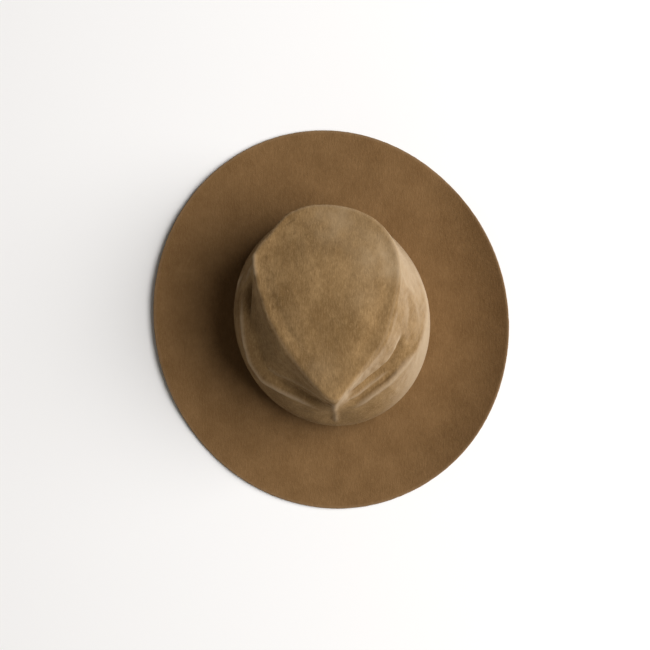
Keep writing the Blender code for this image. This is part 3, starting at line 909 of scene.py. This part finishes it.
def make_band_stitching():
    """The close zigzag that joins the sweatband's lower edge to the tape."""
    low = seam_to_seam(BAND_STITCHES + 1, clearance=0.002)
    high = low + (low[1] - low[0]) / 2
    depth = BAND_INNER + 0.00025
    starts = inside_wall(low[:-1], BAND_STITCH_LOW_Z, depth)
    ends = inside_wall(high[:-1], BAND_STITCH_HIGH_Z, depth)
    line = sewn(starts, ends, 0.0005)
    piece = strands("band_zigzag", [line], THREAD_DIAMETER, THREAD_STUFF, sides=2)
    stands_for(piece, "thread", "band_stitching")


def make_seam_thread():
    """Running stitches that sew the crown to the brim's collar."""
    angle = seam_to_seam(SEAM_STITCHES * STITCH_STEPS, clearance=0.001)
    points = inside_wall(angle, SEAM_Z, SEAM_DEPTH)
    beat = np.sin(np.arange(len(points)) / STITCH_STEPS * 2 * math.pi)
    points += (0.0001 * beat)[:, None] * away_from_axis(points)
    piece = strands("crown_seam_stitches", [points], THREAD_DIAMETER, THREAD_STUFF, sides=2)
    stands_for(piece, "thread", "crown_seam_thread")


def patch_rows(centre, half_width, heights, depths, columns):
    """Rows of points over a small patch of the wall, a depth inside it at each height."""
    half_angle = half_width / HEAD_HALF_LENGTH
    angle = centre + np.linspace(-half_angle, half_angle, columns)
    return [inside_wall(angle, z, depth) for z, depth in zip(heights, depths)]


def make_splice():
    """The tape behind the sweatband's back seam."""
    heights = np.linspace(SPLICE_BOTTOM_Z, SPLICE_TOP_Z, 20)
    depths = np.full_like(heights, SPLICE_DEPTH)
    rows = patch_rows(BACK, SPLICE_HALF_WIDTH, heights, depths, 24)
    tape = surface("splice_tape", rows, TAPE_STUFF, ring=False)
    thicken(tape, TAPE)
    stands_for(tape, "ribbon", "sweatband_splice")


def make_splice_thread():
    """The zigzag that closes the sweatband's back seam."""
    heights = np.linspace(SPLICE_BOTTOM_Z + 0.0035, SPLICE_TOP_Z, 9)
    rise = (heights[1] - heights[0]) / 2
    reach = 0.0016 / HEAD_HALF_LENGTH
    level = np.ones_like(heights)
    depth = BAND_INNER + 0.0005
    starts = inside_wall((BACK - reach) * level, heights, depth)
    ends = inside_wall((BACK + reach) * level, heights + rise, depth)
    piece = strands("splice_zigzag", [sewn(starts, ends, 0.0004)], THREAD_DIAMETER, THREAD_STUFF)
    stands_for(piece, "thread", "splice_thread")


def make_bow_loops():
    """The two loops of the flat grosgrain bow over the foot of the back seam."""
    start = KNOT_WIDTH / 2 + 0.0002
    turn = np.linspace(0, 2 * math.pi, 64, endpoint=False)
    share = (1 - np.cos(turn)) / 2
    out = start + (BOW_REACH - start) * share
    across = BOW_FULLNESS / 2 * np.sin(turn) * (0.55 + 0.45 * share)
    narrow = 0.55 + 0.45 * np.sin(np.pi / 2 * share)
    for side, name in ((1, "bow_loop_left"), (-1, "bow_loop_right")):
        angle = BACK - side * out / HEAD_HALF_LENGTH
        rows = []
        for h in np.linspace(-1, 1, 14):
            sag = 0.00025 * np.sin(3 * h + 2 * turn)
            z = BOW_Z + h * BOW_HALF_HEIGHT * narrow
            rows.append(inside_wall(angle, z, BOW_MIDDLE - across + sag * share)[::-side])
        loop = surface(name + "_ribbon", rows, BOW_STUFF)
        thicken(loop, THIN_TAPE)
        stands_for(loop, "ribbon", name)


def make_bow_knot():
    """The knot of the bow: a turn of ribbon with a slight waist and gathered ends."""
    turn = np.linspace(0, 2 * math.pi, 48, endpoint=False)
    upright = np.sign(np.sin(turn)) * np.abs(np.sin(turn)) ** 0.6
    across = np.sign(np.cos(turn)) * np.abs(np.cos(turn)) ** 0.6
    rows = []
    for s in np.linspace(-1, 1, 15):
        waist = 0.92 + 0.08 * s * s
        angle = BACK - np.full_like(turn, s * KNOT_WIDTH / 2 / HEAD_HALF_LENGTH)
        z = BOW_Z + KNOT_HEIGHT / 2 * waist * upright
        rows.append(inside_wall(angle, z, BOW_MIDDLE + KNOT_DEPTH / 2 * waist * across))
    first, last = (mix(row, row.mean(axis=0), 0.7) for row in (rows[0], rows[-1]))
    knot = surface("bow_knot_wrap", [last, *rows[::-1], first], BOW_STUFF)
    close_ends(knot)
    stands_for(knot, "ribbon", "bow_knot")


def close_ends(obj):
    """Fills the two open ends of a ringed mesh."""
    work = bmesh.new()
    work.from_mesh(obj.data)
    bmesh.ops.holes_fill(work, edges=[edge for edge in work.edges if edge.is_boundary])
    bmesh.ops.recalc_face_normals(work, faces=work.faces)
    work.to_mesh(obj.data)
    work.free()
    obj.data.shade_smooth()


# ---------------------------------------------------------------- the lining
def lining_ring(angle, z=0.0):
    """A level ring of points on which the satin's unevenness is looked up."""
    return about_crown_axis(angle, 0.05, z)


def gather_phase(angle):
    """Where the satin's gathers fall along the seam between its wall and its tip."""
    return GATHERS * angle + 2.2 * lumps(lining_ring(angle), 0.018, 2, 21.0)


def make_lining_side():
    """The satin wall: smooth behind the sweatband, gathered in where it is sewn to the tip.

    It is also pressed in behind the pinch on the wearer's left, which would cut through it.
    """
    angle = all_round(LINING_COLUMNS)
    foot = foot_radius(angle)
    shoulder = around_crown(1, angle)
    tip = oval_radius(angle, TIP_HALF_WIDTH, TIP_HALF_LENGTH)
    level = np.ones_like(angle)
    controls = [
        (foot - LINING_OUTER, LINING_BOTTOM_Z * level),
        (foot - LINING_OUTER, 0.036 * level),
        (mix(foot, shoulder, WALL_TO_SHOULDER) - 0.007, 0.050 * level),
        (mix(shoulder, tip, 0.65), 0.073 * level),
        (tip, (LINING_TIP_Z - PIPING_GAP) * level),
    ]
    phase = gather_phase(angle)
    depth = 0.7 + 0.3 * lumps(lining_ring(angle), 0.010, 2, 23.0)
    gather = depth * (1 + np.sin(phase)) / 2
    from_pinch = (angle - PINCH_ANGLE + math.pi) % (2 * math.pi) - math.pi
    pinch = PINCH_DEPTH * np.exp(-((from_pinch / PINCH_HALF_ARC) ** 2))
    rows = []
    profile = rounded(controls, LINING_STEPS)
    for i, (radius, z) in enumerate(profile):
        up = i / (len(profile) - 1)
        pleat = GATHER_DEPTH * soft((up - 0.30) / 0.55) * (1 - 0.55 * soft((up - 0.88) / 0.12))
        loose = LINING_SAG * soft((up - 0.25) / 0.3)
        sag = loose * (1 + lumps(lining_ring(angle, up * 0.05), 0.03, 2, 4.0))
        pressed = pinch * soft((up - 0.70) / 0.16) * soft((1 - up) / 0.09)
        rows.append(about_crown_axis(angle, radius - pleat * gather - sag - pressed, z))
    side = surface("lining_satin_side", rows, SATIN_STUFF)
    thicken(side, SATIN)
    stands_for(side, "satin", "lining_side")


def make_lining_tip():
    """The oval satin top, a little slack, with puckers along its seam."""
    angle = all_round(LINING_COLUMNS)
    edge = oval_radius(angle, TIP_HALF_WIDTH - PIPING_GAP, TIP_HALF_LENGTH - PIPING_GAP)
    phase = gather_phase(angle)
    rows = []
    for share in np.linspace(1, 0.02, 60):
        pucker = TIP_PUCKER * math.exp(-((1 - share) / 0.09)) * np.sin(phase)
        row = about_crown_axis(angle, edge * share, LINING_TIP_Z + SATIN / 2 + pucker)
        row[:, 2] += TIP_SAG * (1 - share**2) * (lumps(row, 0.035, 2, 31.0) - 0.6)
        rows.append(row)
    tip = surface("lining_satin_tip", rows, SATIN_STUFF, apex=True)
    thicken(tip, SATIN)
    stands_for(tip, "satin", "lining_tip")


def make_piping():
    """The two-ply cord in the seam between the lining's wall and its tip."""
    angle = all_round(PIPING_COLUMNS)
    tip = oval_radius(angle, TIP_HALF_WIDTH, TIP_HALF_LENGTH)
    off_centre, ply_diameter = 0.00042, 0.00092
    lines = []
    for start in (0, math.pi):
        twist = PIPING_TURNS * angle + start
        z = LINING_TIP_Z + off_centre * np.sin(twist)
        lines.append(about_crown_axis(angle, tip + off_centre * np.cos(twist), z))
    piece = strands("piping_cord", lines, ply_diameter, PIPING_STUFF, closed=True)
    stands_for(piece, "ribbon", "lining_piping")


def make_size_tag():
    """The blank woven label tucked behind the top of the sweatband."""
    rows, columns = 40, 30
    heights = np.linspace(TAG_BOTTOM_Z, TAG_TOP_Z, rows)
    depths = 0.0036 + 0.0016 * np.linspace(0, 1, rows) ** 2
    grid = patch_rows(TAG_ANGLE, TAG_HALF_WIDTH, heights, depths, columns)
    tag = surface("size_tag_label", grid, LABEL_STUFF, ring=False)
    from_side = TAG_HALF_WIDTH * (1 - np.abs(np.linspace(-1, 1, columns)))
    from_end = (TAG_TOP_Z - TAG_BOTTOM_Z) / 2 * (1 - np.abs(np.linspace(-1, 1, rows)))
    inset = np.minimum(from_side[None, :], from_end[:, None])
    border = np.exp(-(((inset - TAG_BORDER_INSET) / TAG_BORDER_SOFTNESS) ** 2))
    add_attribute(tag, "border", border.ravel())
    thicken(tag, THIN_TAPE)
    stands_for(tag, "label", "size_tag")


# ---------------------------------------------------------------- floor, light and camera
FLOOR_REACH, FLOOR_GAP = 3.0, 0.0003
CAMERA_X, CAMERA_Y, CAMERA_HEIGHT = -0.00525, -0.00525, 1.6
VIEW_WIDTH = 0.62075  # metres of floor across the picture
LAMP_DISTANCE = 4.0
WINDOW_TOWARDS, WINDOW_COLOUR = (0.715, 0.080, 0.695), (1.0, 0.987, 0.975)
BOUNCE_TOWARDS, BOUNCE_COLOUR = (-0.30, -0.80, 0.52), (1.0, 0.93, 0.82)
ROOM_COLOUR, ROOM_STRENGTH = (1.0, 0.935, 0.84, 1), 0.10


def make_setting():
    """A pale floor, a hair's breadth under the hat so that the two faces never fight."""
    r = FLOOR_REACH
    corners = [(-r, -r, 0), (r, -r, 0), (r, r, 0), (-r, r, 0)]
    data = bpy.data.meshes.new("floor")
    data.from_pydata(corners, [], [(0, 1, 2, 3)])
    floor = placed("floor", data, pale_floor())
    floor.location.z = -FLOOR_GAP


def soft_lamp(name, towards, distance, size, watts, colour):
    """A round area lamp, in a direction from the hat and aimed back at it."""
    data = bpy.data.lights.new(name, "AREA")
    data.shape = "DISK"
    data.size = size
    data.energy = watts
    data.color = colour
    lamp = bpy.data.objects.new(name, data)
    bpy.context.scene.collection.objects.link(lamp)
    aim = Vector(towards).normalized()
    lamp.location = aim * distance
    lamp.rotation_euler = aim.to_track_quat("Z", "Y").to_euler()


def make_lights():
    """One large window to the wearer's left, a weak warm bounce opposite, and a dim warm room."""
    soft_lamp("window", WINDOW_TOWARDS, LAMP_DISTANCE, 4.4, 290, WINDOW_COLOUR)
    soft_lamp("wall_bounce", BOUNCE_TOWARDS, LAMP_DISTANCE, 3.0, 11, BOUNCE_COLOUR)
    world = bpy.data.worlds.new("soft_room")
    bpy.context.scene.world = world
    world.use_nodes = True
    background = world.node_tree.nodes["Background"]
    background.inputs["Color"].default_value = ROOM_COLOUR
    background.inputs["Strength"].default_value = ROOM_STRENGTH
    bpy.context.scene.view_settings.view_transform = "Standard"


def make_camera():
    """Straight above, far enough away that the rim hardly grows."""
    data = bpy.data.cameras.new("camera")
    data.lens = data.sensor_width * CAMERA_HEIGHT / VIEW_WIDTH
    camera = bpy.data.objects.new("camera", data)
    camera.location = (CAMERA_X, CAMERA_Y, CAMERA_HEIGHT)
    bpy.context.scene.collection.objects.link(camera)
    bpy.context.scene.camera = camera


make_camera()
make_setting()
make_lights()
make_brim()
make_crown()
make_sweatband()
make_reed()
make_reed_tape()
make_band_stitching()
make_seam_thread()
make_splice()
make_splice_thread()
make_bow_loops()
make_bow_knot()
make_lining_side()
make_lining_tip()
make_piping()
make_size_tag()
